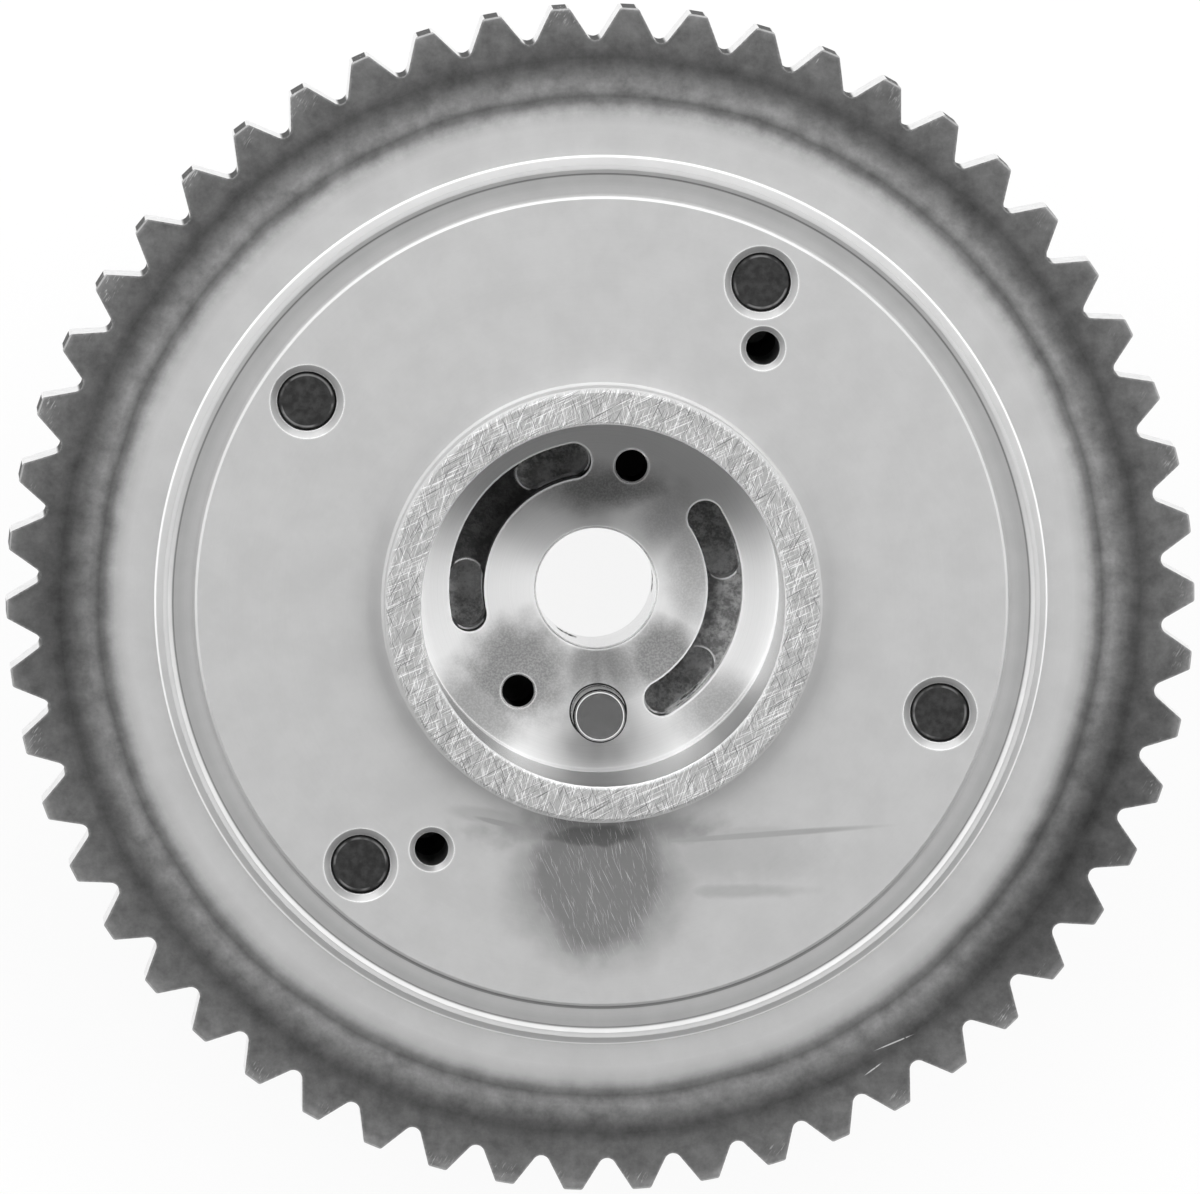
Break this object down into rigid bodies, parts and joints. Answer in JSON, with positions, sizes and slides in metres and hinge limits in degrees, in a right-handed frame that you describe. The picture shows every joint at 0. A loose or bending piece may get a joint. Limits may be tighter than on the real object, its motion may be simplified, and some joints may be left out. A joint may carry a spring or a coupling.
{
  "type": "cam phaser",
  "caption": "Vane-type cam phaser: toothed chain sprocket with a journal collar, bolted to a lobed stator, and a vaned rotor that turns inside it.",
  "frame": {"origin": "centre of the bounding box at the bottom, where the heads of the cover bolts stand", "axes": "+Z along the cam axis towards the camshaft, +X and +Y as right and up in the picture"},
  "size_m": [0.1096, 0.1094, 0.043],
  "materials": {
    "plate_steel": "turned, with a heat tint on the hardened rim",
    "sintered_steel": "sintered",
    "cover_steel": "ground",
    "black_steel": "black oxide",
    "rotor_steel": "turned",
    "hard_steel": "ground",
    "spring_steel": "drawn",
    "seal_plastic": "filled"
  },
  "bodies": {
    "housing": {"sprocket_plate": "plate_steel", "stator_housing": "sintered_steel", "front_cover": "cover_steel", "cover_bolts": "black_steel", "lock_bush": "hard_steel", "lobe_seal_1": "seal_plastic", "lobe_seal_2": "seal_plastic", "lobe_seal_3": "seal_plastic", "lobe_seal_4": "seal_plastic", "lobe_seal_spring_1": "spring_steel", "lobe_seal_spring_2": "spring_steel", "lobe_seal_spring_3": "spring_steel", "lobe_seal_spring_4": "spring_steel"},
    "rotor": {"rotor": "rotor_steel", "cam_dowel": "hard_steel", "lock_spring_seat": "hard_steel", "lock_spring": "spring_steel", "vane_seal_1": "seal_plastic", "vane_seal_2": "seal_plastic", "vane_seal_3": "seal_plastic", "vane_seal_4": "seal_plastic", "vane_seal_spring_1": "spring_steel", "vane_seal_spring_2": "spring_steel", "vane_seal_spring_3": "spring_steel", "vane_seal_spring_4": "spring_steel"},
    "lock_pin": {"lock_pin": "hard_steel"}
  },
  "joints": [
    {"name": "rotor_phase", "type": "hinge", "parent": "housing", "child": "rotor", "pos_m": [0, 0, 0.02], "axis": [0, 0, 1], "range_deg": [0, 25]},
    {"name": "lock_pin_slide", "type": "slide", "parent": "rotor", "child": "lock_pin", "axis": [0, 0, -1], "range_m": [0, 0.003], "stiffness_N_per_m": 800, "springref_m": -0.006, "deforming": ["lock_spring"]}
  ]
}
